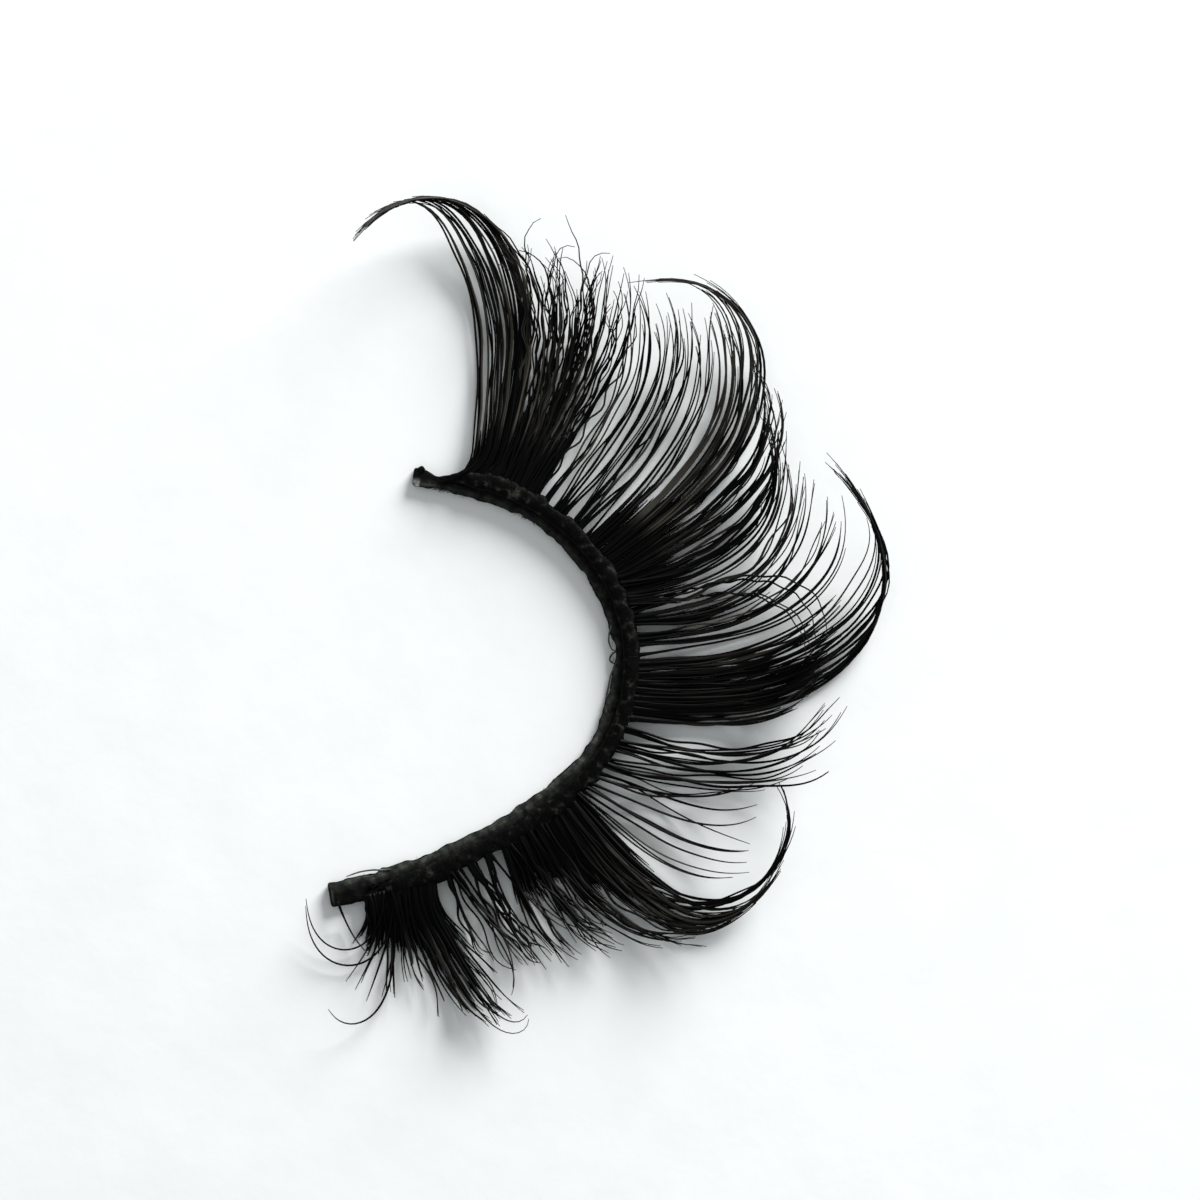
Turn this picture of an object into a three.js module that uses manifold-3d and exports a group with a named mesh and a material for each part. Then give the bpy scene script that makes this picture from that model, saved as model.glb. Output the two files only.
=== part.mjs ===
// False eyelash strip lying on its band: a curved cotton band and ten tufts of hair.
// Millimetres and degrees, +Z up. The eyelid side of the band is its underside, at Z = 0.
import * as THREE from 'three';
import { mergeVertices } from 'three/addons/utils/BufferGeometryUtils.js';
import Module from 'manifold-3d';

const wasm = await Module();
wasm.setup();

const { degToRad, lerp, smoothstep } = THREE.MathUtils;

// Band: its middle line is a chain of arcs that starts at the inner corner of the eye.
const BAND_START = { x: -12.6, y: -13.75, heading: 10 };
const BAND_ARCS = [
  { length: 12.0, turn: 28 },
  { length: 11.5, turn: 86 },
  { length: 7.5, turn: 46 },
  { length: 2.5, turn: 2 },
];
const BAND_WIDTHS = [
  { along: 0.0, width: 1.1 },
  { along: 2.0, width: 1.2 },
  { along: 17.0, width: 1.3 },
  { along: 30.0, width: 1.15 },
  { along: 33.5, width: 0.9 },
];
const BAND_LENGTH = BAND_ARCS.reduce((sum, arc) => sum + arc.length, 0);
const BAND_THICKNESS = 0.45;
const BAND_BEVEL = 0.12;
const BAND_STEP = 0.6;
const BAND_END_BEAD = { radius: 0.5, height: 0.75, sides: 10, rings: 6 };

// Root row: the glued line of knots that holds the hair, on the outer half of the band.
const ROW_INNER = 0.02;
const ROW_OUTER = 0.78;
const ROW_HEIGHT = 0.42;
const ROW_STEP = 0.5;
const SEAT_GAP = 0.04;
const ROW_BOTTOM = BAND_THICKNESS + SEAT_GAP;

// Locks: tapered tubes that leave the row outwards, dip towards the surface and curl up to a tip.
const LOCK_SIDES = 5;
const LOCK_STEPS = 9;
const LOCK_FLATNESS = 0.8;
const LOCK_TIP = 0.05;
const LOCK_TAPER = 2;
const LOCK_WELD = 0.02;
const PATH_PIECES = 6;
const ROOT_OFFSET = 0.34;
const ROOT_HEIGHT = ROW_BOTTOM + ROW_HEIGHT / 2;
const TURN_SHARPNESS = 1.6;
const DIP_START = 0.6;
const DIP_END_SHARE = 0.36;
const RISE_START_SHARE = 0.28;
const RISE_POWER = 2;

// Tufts from the inner to the outer corner. A tuft holds the stretch of root row between from and to.
// Its locks are spaced evenly over its guides: radius is a lock's thickness at the root, and belly is
// the height of its middle where it hangs lowest. Each guide is one lock: root is where it leaves the
// band, lead its angle from the band's outward normal, turn how far it swings round by its tip, half
// the share of its length where half of that turn is done, length its length seen from above, and
// rise the height that its tip curls up.
const TUFTS = [
  {
    name: 'inner_tuft', from: 1.8, to: 4.9, locks: 9, radius: 0.24, belly: 0.3,
    guides: [
      { root: 2.1, lead: -13, turn: -45, half: 0.60, length: 3.9, rise: 1.2 },
      { root: 2.8, lead: -10, turn: 5, half: 0.60, length: 5.6, rise: 1.8 },
      { root: 3.6, lead: 5, turn: 20, half: 0.70, length: 6.2, rise: 2.0 },
      { root: 4.5, lead: -1, turn: 150, half: 0.84, length: 9.6, rise: 3.0 },
    ],
  },
  {
    name: 'inner_filler', from: 5.0, to: 8.0, locks: 7, radius: 0.16, belly: 0.3,
    guides: [
      { root: 5.3, lead: 6, turn: 20, half: 0.70, length: 5.5, rise: 1.8 },
      { root: 6.8, lead: 2, turn: 25, half: 0.70, length: 7.3, rise: 2.2 },
      { root: 7.7, lead: -6, turn: 30, half: 0.60, length: 6.0, rise: 1.8 },
    ],
  },
  {
    name: 'lower_brush', from: 8.1, to: 10.25, locks: 7, radius: 0.18, belly: 0.3,
    guides: [
      { root: 8.4, lead: -3, turn: 28, half: 0.70, length: 7.6, rise: 2.2 },
      { root: 9.2, lead: -3, turn: 35, half: 0.80, length: 7.4, rise: 2.2 },
      { root: 10.0, lead: -2, turn: 40, half: 0.80, length: 7.0, rise: 2.2 },
    ],
  },
  {
    name: 'lower_spike', from: 10.35, to: 13.3, locks: 11, radius: 0.27, belly: 0.08,
    guides: [
      { root: 10.65, lead: -6, turn: 66, half: 0.60, length: 10.3, rise: 2.8 },
      { root: 11.1, lead: -4, turn: 185, half: 0.63, length: 17.2, rise: 5.6 },
      { root: 11.7, lead: 1, turn: 176, half: 0.66, length: 16.0, rise: 5.2 },
      { root: 12.3, lead: 6, turn: 135, half: 0.82, length: 12.0, rise: 3.8 },
      { root: 12.7, lead: 8, turn: 50, half: 0.70, length: 9.2, rise: 2.6 },
      { root: 13.05, lead: 11, turn: 75, half: 0.75, length: 8.7, rise: 2.4 },
    ],
  },
  {
    name: 'lower_filler', from: 13.4, to: 16.0, locks: 7, radius: 0.14, belly: 0.2,
    guides: [
      { root: 13.6, lead: 17, turn: 38, half: 0.50, length: 6.1, rise: 1.6 },
      { root: 14.2, lead: 12, turn: 66, half: 0.62, length: 10.9, rise: 3.0 },
      { root: 14.8, lead: 12, turn: 55, half: 0.70, length: 10.4, rise: 3.0 },
      { root: 15.3, lead: 14, turn: 65, half: 0.78, length: 11.2, rise: 3.2 },
      { root: 15.8, lead: 14, turn: 50, half: 0.78, length: 11.1, rise: 3.2 },
    ],
  },
  {
    name: 'middle_spike', from: 16.1, to: 19.15, locks: 9, radius: 0.31, belly: 0.08,
    guides: [
      { root: 16.45, lead: 15, turn: 142, half: 0.63, length: 20.8, rise: 6.4 },
      { root: 17.2, lead: 11, turn: 142, half: 0.63, length: 20.7, rise: 6.6 },
      { root: 18.1, lead: 6, turn: 138, half: 0.65, length: 19.0, rise: 6.2 },
      { root: 18.85, lead: 1, turn: 120, half: 0.67, length: 15.8, rise: 5.2 },
    ],
  },
  {
    name: 'middle_filler', from: 19.25, to: 21.2, locks: 6, radius: 0.14, belly: 0.2,
    guides: [
      { root: 19.45, lead: -3, turn: 105, half: 0.68, length: 13.9, rise: 3.6 },
      { root: 19.9, lead: -4, turn: 80, half: 0.60, length: 12.7, rise: 3.0 },
      { root: 20.4, lead: -8, turn: 90, half: 0.58, length: 12.5, rise: 2.6 },
      { root: 20.9, lead: -9, turn: 35, half: 0.50, length: 7.0, rise: 1.6 },
    ],
  },
  {
    name: 'upper_spike', from: 21.3, to: 24.5, locks: 11, radius: 0.29, belly: 0.08,
    guides: [
      { root: 21.6, lead: -10, turn: 65, half: 0.55, length: 12.0, rise: 4.2 },
      { root: 22.1, lead: -1, turn: 75, half: 0.70, length: 12.3, rise: 4.2 },
      { root: 22.8, lead: 3, turn: 75, half: 0.70, length: 12.8, rise: 4.4 },
      { root: 23.4, lead: 3, turn: 150, half: 0.665, length: 20.2, rise: 6.6 },
      { root: 24.2, lead: 2, turn: 75, half: 0.62, length: 14.0, rise: 4.4 },
    ],
  },
  {
    name: 'upper_filler', from: 24.6, to: 27.65, locks: 8, radius: 0.14, belly: 0.2,
    guides: [
      { root: 24.85, lead: 2, turn: 58, half: 0.60, length: 13.3, rise: 3.4 },
      { root: 25.5, lead: 1, turn: 60, half: 0.60, length: 13.0, rise: 3.4 },
      { root: 26.5, lead: -2, turn: 55, half: 0.62, length: 12.3, rise: 3.2 },
      { root: 27.4, lead: -1, turn: 60, half: 0.80, length: 12.6, rise: 3.2 },
    ],
  },
  {
    name: 'outer_spike', from: 27.75, to: 31.4, locks: 11, radius: 0.30, belly: 0.08,
    guides: [
      { root: 28.1, lead: 3, turn: 40, half: 0.80, length: 11.9, rise: 3.6 },
      { root: 28.5, lead: 3, turn: 50, half: 0.80, length: 13.2, rise: 4.0 },
      { root: 29.1, lead: 2, turn: 75, half: 0.78, length: 13.4, rise: 4.2 },
      { root: 29.8, lead: 1, turn: 152, half: 0.67, length: 20.7, rise: 6.6 },
      { root: 30.8, lead: 4, turn: 155, half: 0.79, length: 16.5, rise: 5.4 },
    ],
  },
];

// The surface that the strip lies on: hair that dips below it lies flat on it instead.
const SURFACE = { side: 80, depth: 4 };

const COTTON = { color: 0x2b2a2c, roughness: 0.85, metalness: 0 };
const HAIR = { color: 0x17130f, roughness: 0.45, metalness: 0 };

// Place and heading of the band's middle line at a distance along it.
function bandAt(along) {
  let { x, y, heading } = BAND_START;
  let left = along;
  for (const [index, arc] of BAND_ARCS.entries()) {
    const last = index === BAND_ARCS.length - 1;
    const run = last ? left : Math.min(left, arc.length);
    const turn = degToRad(arc.turn * run / arc.length);
    const start = degToRad(heading);
    const radius = arc.length / degToRad(arc.turn);
    x += radius * (Math.sin(start + turn) - Math.sin(start));
    y += radius * (Math.cos(start) - Math.cos(start + turn));
    heading += arc.turn * run / arc.length;
    left -= run;
  }
  return { x, y, heading };
}

// A point beside the band: outward is to the right of its heading.
function besideBand(along, outward, height) {
  const { x, y, heading } = bandAt(along);
  const angle = degToRad(heading - 90);
  return new THREE.Vector3(x + outward * Math.cos(angle), y + outward * Math.sin(angle), height);
}

function bandWidth(along) {
  const next = Math.max(1, BAND_WIDTHS.findIndex((row) => row.along >= along));
  const [before, after] = [BAND_WIDTHS[next - 1], BAND_WIDTHS[next]];
  const share = (along - before.along) / (after.along - before.along);
  return lerp(before.width, after.width, share);
}

// Moves every vertex of a geometry to where place puts it.
function reshape(geometry, place) {
  const positions = geometry.attributes.position;
  const vertex = new THREE.Vector3();
  for (let index = 0; index < positions.count; index += 1) {
    vertex.fromBufferAttribute(positions, index);
    positions.setXYZ(index, ...place(vertex).toArray());
  }
  return geometry;
}

function toSolid(geometry) {
  const bare = geometry.clone();
  bare.deleteAttribute('normal');
  bare.deleteAttribute('uv');
  const merged = mergeVertices(bare);
  const vertProperties = new Float32Array(merged.attributes.position.array);
  const triVerts = new Uint32Array(merged.index.array);
  return new wasm.Manifold(new wasm.Mesh({ numProp: 3, vertProperties, triVerts }));
}

function toMesh(name, solid, finish) {
  const { numProp, vertProperties, triVerts } = solid.getMesh();
  const geometry = new THREE.BufferGeometry();
  geometry.setAttribute('position', new THREE.BufferAttribute(vertProperties, numProp));
  geometry.setIndex(new THREE.BufferAttribute(triVerts, 1));
  geometry.computeVertexNormals();
  const mesh = new THREE.Mesh(geometry, new THREE.MeshStandardMaterial(finish));
  mesh.name = name;
  return mesh;
}

// The band's section, one unit wide, with bevelled corners.
function bandSection() {
  const bevelAcross = BAND_BEVEL / bandWidth(BAND_LENGTH / 2);
  const shape = new THREE.Shape();
  shape.moveTo(-0.5, 0);
  shape.lineTo(0.5, 0);
  shape.lineTo(0.5, BAND_THICKNESS - BAND_BEVEL);
  shape.lineTo(0.5 - bevelAcross, BAND_THICKNESS);
  shape.lineTo(-0.5 + bevelAcross, BAND_THICKNESS);
  shape.lineTo(-0.5, BAND_THICKNESS - BAND_BEVEL);
  shape.closePath();
  return shape;
}

function makeBand() {
  const steps = Math.round(BAND_LENGTH / BAND_STEP);
  const options = { depth: BAND_LENGTH, steps, bevelEnabled: false };
  const ribbon = new THREE.ExtrudeGeometry(bandSection(), options);
  reshape(ribbon, ({ x, y, z }) => besideBand(z, -x * bandWidth(z), y));
  const { radius, height, sides, rings } = BAND_END_BEAD;
  const bead = new THREE.SphereGeometry(1, sides, rings);
  const end = besideBand(BAND_LENGTH, 0, height / 2);
  reshape(bead, ({ x, y, z }) => new THREE.Vector3(x * radius, z * radius, -y * height / 2).add(end));
  return toMesh('band', toSolid(ribbon).add(toSolid(bead)), COTTON);
}

// The stretch of root row that a tuft is fused to.
function rootRow({ from, to }) {
  const steps = Math.ceil((to - from) / ROW_STEP);
  const block = new THREE.BoxGeometry(1, 1, 1, steps, 1, 1);
  return reshape(block, ({ x, y, z }) => besideBand(
    lerp(from, to, x + 0.5),
    lerp(ROW_OUTER, ROW_INNER, y + 0.5),
    ROW_BOTTOM + ROW_HEIGHT * (z + 0.5),
  ));
}

// The lock at a share of the way from a tuft's first guide to its last.
function guideBetween(guides, share) {
  const place = share * (guides.length - 1);
  const index = Math.min(Math.floor(place), guides.length - 2);
  const [before, after] = [guides[index], guides[index + 1]];
  const columns = Object.keys(before);
  return Object.fromEntries(columns.map((key) => [key, lerp(before[key], after[key], place - index)]));
}

function lockHeading({ root, lead, turn, half }, share) {
  const odds = (half / (1 - half)) * (1 / share - 1);
  return bandAt(root).heading - 90 + lead + turn / (1 + odds ** TURN_SHARPNESS);
}

function lockHeight({ length, rise }, belly, share) {
  const dip = smoothstep(share * length, DIP_START, DIP_END_SHARE * length);
  const climb = Math.max(0, (share - RISE_START_SHARE) / (1 - RISE_START_SHARE));
  return lerp(ROOT_HEIGHT, belly, dip) + rise * climb ** RISE_POWER;
}

// Stations along a lock: the middle of its section and the two directions across it.
function lockStations(guide, belly) {
  const pieces = LOCK_STEPS * PATH_PIECES;
  const piece = guide.length / pieces;
  const point = besideBand(guide.root, ROOT_OFFSET, ROOT_HEIGHT);
  const stations = [];
  for (let index = 0; index <= pieces; index += 1) {
    const share = index / pieces;
    const heading = degToRad(lockHeading(guide, share));
    point.z = lockHeight(guide, belly, share);
    if (index % PATH_PIECES === 0) {
      const climb = lockHeight(guide, belly, share + 1 / pieces) - point.z;
      const along = new THREE.Vector3(Math.cos(heading), Math.sin(heading), climb / piece).normalize();
      const right = new THREE.Vector3(Math.sin(heading), -Math.cos(heading), 0);
      const up = new THREE.Vector3().crossVectors(right, along);
      stations.push({ middle: point.clone(), right, up });
    }
    point.x += piece * Math.cos(heading);
    point.y += piece * Math.sin(heading);
  }
  return stations;
}

function makeLock(guide, radius, belly) {
  const stations = lockStations(guide, belly);
  const tube = new THREE.CylinderGeometry(1, 1, 1, LOCK_SIDES, LOCK_STEPS);
  return reshape(tube, ({ x, y, z }) => {
    const share = y + 0.5;
    const { middle, right, up } = stations[Math.round(share * LOCK_STEPS)];
    const thickness = lerp(radius, LOCK_TIP, share ** LOCK_TAPER);
    return middle.clone()
      .addScaledVector(right, x * thickness)
      .addScaledVector(up, z * thickness * LOCK_FLATNESS);
  });
}

function makeTuft(tuft, belowSurface) {
  const { name, locks, radius, belly, guides } = tuft;
  let solid = toSolid(rootRow(tuft));
  for (let index = 0; index < locks; index += 1) {
    const guide = guideBetween(guides, index / (locks - 1));
    solid = solid.add(toSolid(makeLock(guide, radius, belly)));
  }
  const lying = solid.subtract(belowSurface);
  return toMesh(name, lying.asOriginal().simplify(LOCK_WELD), HAIR);
}

// The strip, with its origin on the surface under the middle of its outline.
function makeStrip() {
  const { side, depth } = SURFACE;
  const block = new THREE.BoxGeometry(side, side, depth).translate(0, 0, -depth / 2);
  const belowSurface = toSolid(block);
  const strip = new THREE.Group();
  strip.add(makeBand());
  for (const tuft of TUFTS) {
    strip.add(makeTuft(tuft, belowSurface));
  }
  const middle = new THREE.Box3().setFromObject(strip).getCenter(new THREE.Vector3());
  strip.position.set(-middle.x, -middle.y, 0);
  return strip;
}

export default makeStrip();
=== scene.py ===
"""Looks of the false eyelash strip: single hairs, knotted roots and a cotton band, lying on paper."""
import math

import bpy
import numpy as np
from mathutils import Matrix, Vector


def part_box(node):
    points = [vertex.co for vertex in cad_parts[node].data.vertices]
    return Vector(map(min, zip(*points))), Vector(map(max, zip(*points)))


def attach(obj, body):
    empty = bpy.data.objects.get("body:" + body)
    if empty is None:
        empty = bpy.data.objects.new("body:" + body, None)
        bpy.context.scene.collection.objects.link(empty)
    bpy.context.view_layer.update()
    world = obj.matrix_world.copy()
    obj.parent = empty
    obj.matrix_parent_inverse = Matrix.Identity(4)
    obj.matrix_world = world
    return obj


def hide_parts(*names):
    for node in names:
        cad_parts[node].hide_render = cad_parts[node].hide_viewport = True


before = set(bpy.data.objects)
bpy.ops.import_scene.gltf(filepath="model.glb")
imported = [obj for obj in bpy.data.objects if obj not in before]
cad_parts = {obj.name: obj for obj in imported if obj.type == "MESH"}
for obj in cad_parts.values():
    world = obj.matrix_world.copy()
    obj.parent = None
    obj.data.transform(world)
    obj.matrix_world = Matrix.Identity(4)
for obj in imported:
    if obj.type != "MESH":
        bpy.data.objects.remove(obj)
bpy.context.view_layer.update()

# Shapes are worked out in millimetres and degrees, in the plan that the solids were drawn in.
MM = 0.001
SEED = 41

# Band: its middle line is a chain of arcs from the inner corner of the eye
BAND_START = (-12.6, -13.75)
BAND_HEADING = 10.0
BAND_ARC_LENGTHS = (12.0, 11.5, 7.5, 2.5)
BAND_ARC_TURNS = (28.0, 86.0, 46.0, 2.0)
BAND_LENGTH = sum(BAND_ARC_LENGTHS)
BAND_WIDTH_PLACES = (0.0, 2.0, 17.0, 30.0, 33.5)
BAND_WIDTHS = (1.1, 1.2, 1.3, 1.15, 0.9)
BAND_THICKNESS = 0.45
BAND_SQUARENESS = 0.42
BAND_STEPS = 1000
BAND_SIDES = 40
BAND_LUMP_PITCH = 0.30
BAND_LUMP_COLUMNS = 9
BAND_LUMP_RELIEF = 0.042
EDGE_PITCH = 0.55
EDGE_RELIEF = 0.07
NECK_PLACE = 32.3
NECK_LENGTH = 0.62
NECK_DEPTH = 0.34
NOTCH_PLACE = 19.5
NOTCH_LENGTH = 0.7
NOTCH_DEPTH = 0.15
END_ROUND = 0.16
END_SHARE = 0.75

# Tones of the band: a lighter strip near its inner edge, a pale line by the inner end and a bare outer end.
# The strip is the cotton's grey-green plus painted light on its top, lighter along the lower stretch. At
# the very edge it falls to black as painted shade.
# Rises and falls are shares of the way from the middle line to the inner edge.
STRIP_PLACES = (0.0, 2.0, 14.0, 18.0, 33.5)
STRIP_CLOTH_AND_LIGHT_TONES = (0.30, 0.50, 0.50, 0.34, 0.26)
STRIP_RISE = (0.35, 0.60)
STRIP_SHADED_EDGE = (0.90, 0.98)
STREAK_DEPTH = 0.2
STREAK_PITCH = 0.5
STREAK_COLUMNS = 24
BARE_END_LENGTH = 0.44
BARE_END_BLEND = 0.15
BARE_END_RISE = (0.25, 0.50)
CUT_LINE_PLACE = 0.14
CUT_LINE_WIDTH = 0.05
CUT_LINE_TONE = 0.45

# Root row: lumps of glue and knots along the outer half of the band
ROW_OFFSET = 0.30
ROW_OUTER = 0.66
ROW_HALF_WIDTH = 0.40
ROW_HALF_HEIGHT = 0.25
ROW_CENTRE = 0.69
ROW_OVERLAP = 0.06
ROW_SIDES = 20
ROW_SQUARENESS = 0.7
ROW_STEP = 0.035
KNOT_PITCH = 0.34
KNOT_COLUMNS = 7
KNOT_RELIEF = 0.06
WEB_PITCH = 0.5
WEB_RELIEF = 0.40
ROW_ROUGHNESS = 0.012
ROW_END_RUN = 1.5
ROW_END_SHARE = 0.20

# Whipping: a pair of threads that twist along the inner side of the root row
WHIP_STRETCH = (1.9, 31.3)
WHIP_OFFSET = -0.02
WHIP_HEIGHT = 0.52
WHIP_SWING = 0.085
WHIP_FLATNESS = 0.5
WHIP_PITCH = 0.84
WHIP_WANDER_PITCH = 0.9
WHIP_RADIUS = 0.055
WHIP_STEP = 0.06
WHIP_SIDES = 8
WHIP_TONE = 0.0

# Loose threads: each is a list of points, as places along the band, outward from its middle line and up
THREAD_RADIUS = 0.042
THREAD_TAPER = 0.6
THREAD_TAPER_POWER = 6
THREAD_STEPS = 48
THREAD_SIDES = 7
THREAD_TONE = 0.6
PATH_END_GAP = 1e-6
LOOSE_THREADS = (
    (
        (3.1, -0.50, 0.44),
        (2.6, -0.62, 0.40),
        (2.2, -0.72, 0.32),
        (1.6, -0.77, 0.22),
        (0.95, -0.70, 0.08),
    ),
    (
        (20.8, -0.46, 0.46),
        (20.4, -0.64, 0.36),
        (20.0, -0.72, 0.22),
        (19.6, -0.62, 0.30),
        (19.5, -0.42, 0.46),
    ),
    (
        (19.5, -0.40, 0.47),
        (19.3, -0.66, 0.34),
        (19.05, -0.74, 0.18),
        (18.9, -0.60, 0.30),
        (18.9, -0.40, 0.47),
    ),
    (
        (18.8, -0.46, 0.46),
        (18.3, -0.66, 0.30),
        (17.6, -0.71, 0.16),
        (16.9, -0.69, 0.24),
        (16.3, -0.48, 0.46),
    ),
)

# Knot of thread on the corner of the outer end: its middle as for a loose thread, and its uneven turns
END_KNOT = (33.16, 0.34, 0.40)
END_KNOT_RADIUS = 0.10
END_KNOT_TURNS = 2.5
END_KNOT_FIRST_TURN = 0.6
END_KNOT_NARROWING = 0.3
END_KNOT_WAVE = 0.02
END_KNOT_WAVES = 3.0
END_KNOT_THREAD = 0.095
END_KNOT_TONE = 0.0

# Fuzz: cotton fibres that stand out of the band's inner edge, most of them near its outer end
FUZZ_COUNT = 240
FUZZ_STRETCH = (27.6, 32.4)
FUZZ_SHARE = 0.65
FUZZ_WIDE_STRETCH = (0.5, 33.0)
FUZZ_LENGTH = (0.10, 0.24)
FUZZ_LEANS = (18.0, 162.0)
FUZZ_LEAN_SPREAD = 10.0
FUZZ_CURL = 25.0
FUZZ_ROOT_DEPTH = 0.06
FUZZ_ROOT_HEIGHTS = (0.12, 0.44)
FUZZ_TIP_HEIGHTS = (0.06, 0.5)
FUZZ_RADIUS = 0.009
FUZZ_TAPER = 0.5
FUZZ_STEPS = 6
FUZZ_SIDES = 4
FUZZ_TONE = 0.45

# Hair fibres: their radius, its scale for single and for short hairs, fine tips, and flared, dark roots
HAIR_STEPS = 34
HAIR_FINE_STEPS = 3
HAIR_SIDES = 5
HAIR_RADIUS = 0.046
SINGLE_HAIR = 1.10
SHORT_HAIR = 1.25
HAIR_RADIUS_SPREAD = 0.15
HAIR_RADIUS_LIMITS = (0.6, 1.5)
HAIR_TIP_RADIUS = 0.016
HAIR_TAPER_POWER = 4.0
ROOT_FLARE = 0.05
ROOT_FLARE_SPREAD = (0.3, 1.4)
ROOT_FLARE_RUN = 0.45
DARK_ROOT_RUN = (0.3, 3.0)

# Hair paths: they leave the root row in bunches, turn, dip towards the paper and curl up
ROOT_OFFSET = 0.34
ROOT_HEIGHT = 0.70
ROOT_LAYERS = 0.12
BUNCH_PITCH = 0.95
BUNCH_RUN = 3.2
TURN_SHARPNESS = 1.6
LEAST_SHARE = 1e-9
DIP_START = 0.6
DIP_END_SHARE = 0.36
RISE_START_SHARE = 0.28
RISE_POWER = 3.1
STACK_DEPTH = 0.28
FLOOR_CLEARANCE = 0.015

# Hair strands: how they differ, how their hairs lie beside each other, and how they sway, join and stray
STRAND_JITTER = 0.35
TURN_SPREAD = 0.04
RISE_SPREAD = 0.08
HAIR_CUT = (0.95, 1.0)
SHORT_CUT = (0.25, 0.55)
STRAND_SPREAD = 0.07
STRAND_WAVES = (0.5, 1.6)
STRAND_OPENING = 0.6
STRAND_CLOSING_POWER = 4
SWAY = 0.09
SWAY_PITCH = (3.0, 6.5)
SWAY_GROWTH = (0.05, 0.3)
KINK = 0.06
KINK_PITCH = (1.2, 2.0)
JOIN_RUN = 0.35
LOCK_HOLD = 0.92
TIP_STRAY = 0.05
TIP_STRAY_POWER = 3
WISP_START = 0.78
WISP_TURN = 9.0
WISP_SPREAD = 0.35

# Materials: stops of colour ramps, the scale and detail of noise, ranges of roughness, and the strength
# and distance of bump
# Hair colours: the paler stops are partly brownish tints of some hairs and partly painted highlights.
HAIR_TINT_AND_HIGHLIGHT_COLOURS = (
    (0.0, (0.0006, 0.0006, 0.0008)),
    (0.5, (0.0018, 0.0017, 0.0016)),
    (0.78, (0.012, 0.0112, 0.0096)),
    (1.0, (0.050, 0.046, 0.039)),
)
HAIR_GRAIN = (2500.0, 4.0)
HAIR_ROUGHNESS = (0.34, 0.52)
HAIR_BUMP = (0.2, 0.00001)
HAIR_SPECULAR = 0.07
# Glue colours: the paler flecks are partly brownish-grey bits and partly painted glints.
GLUE_FLECK_AND_GLINT_COLOURS = (
    (0.46, (0.0004, 0.0004, 0.0005)),
    (0.54, (0.0016, 0.0016, 0.0016)),
    (0.61, (0.007, 0.0065, 0.0055)),
    (0.70, (0.030, 0.027, 0.022)),
)
GLUE_MOTTLE = (2700.0, 6.0)
GLUE_GRAIN = (9000.0, 4.0)
GLUE_ROUGHNESS = (0.45, 0.75)
GLUE_BUMP = (0.6, 0.00005)
GLUE_SPECULAR = 0.05
# Cotton colours: black, the grey-green cotton and the pale bare thread; the band's tones mix painted light
# and shade into these.
COTTON_COLOURS = (
    (0.0, (0.0025, 0.0025, 0.0024)),
    (0.5, (0.042, 0.046, 0.042)),
    (1.0, (0.26, 0.265, 0.25)),
)
COTTON_MOTTLE_COLOURS = (
    (0.35, (0.36, 0.36, 0.37)),
    (0.53, (1.0, 1.0, 0.97)),
    (0.70, (2.0, 1.9, 1.7)),
)
COTTON_MOTTLE = (3000.0, 8.0)
COTTON_GRAIN = (14000.0, 6.0)
COTTON_ROUGHNESS = (0.8, 1.0)
COTTON_BUMP = (0.8, 0.00004)
COTTON_SPECULAR = 0.08
PAPER_COLOURS = (
    (0.3, (0.88, 0.90, 0.90)),
    (0.7, (0.91, 0.93, 0.93)),
)
PAPER_GRAIN = (260.0, 5.0)
PAPER_ROUGHNESS = (0.9, 1.0)
PAPER_BUMP = (0.15, 0.0002)
PAPER_SPECULAR = 0.1

# Floor and light, in metres: a sheet of paper, an even sky and one round window
PAPER_SIZE = 4.0
SKY_COLOUR = (0.97, 1.0, 1.0, 1.0)
SKY_STRENGTH = 0.43
WINDOW_SIZE = 0.34
WINDOW_ENERGY = 8.8
WINDOW_PLACE = (0.303, 0.482, 0.180)

# Camera: the photo's middle and its width, in the same plan as the band, and its clip distances in metres
VIEW_CENTRE = (0.0, 0.0)
VIEW_WIDTH = 55.9
VIEW_DISTANCE = 500.0
SENSOR = 36.0
CLIP_NEAR = 0.01
CLIP_FAR = 10.0

# Guides are hairs that the others are blended from. Root is where a hair leaves the band, lead its angle
# from the band's outward normal, bend an extra angle at its root that dies away over its run, turn how far
# it swings round by its tip, half the share of its length where half of that turn is done, length its
# length seen from above and rise the height that its tip curls up.
GUIDE_COLUMNS = ("root", "bend", "run", "lead", "turn", "half", "length", "rise")
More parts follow.
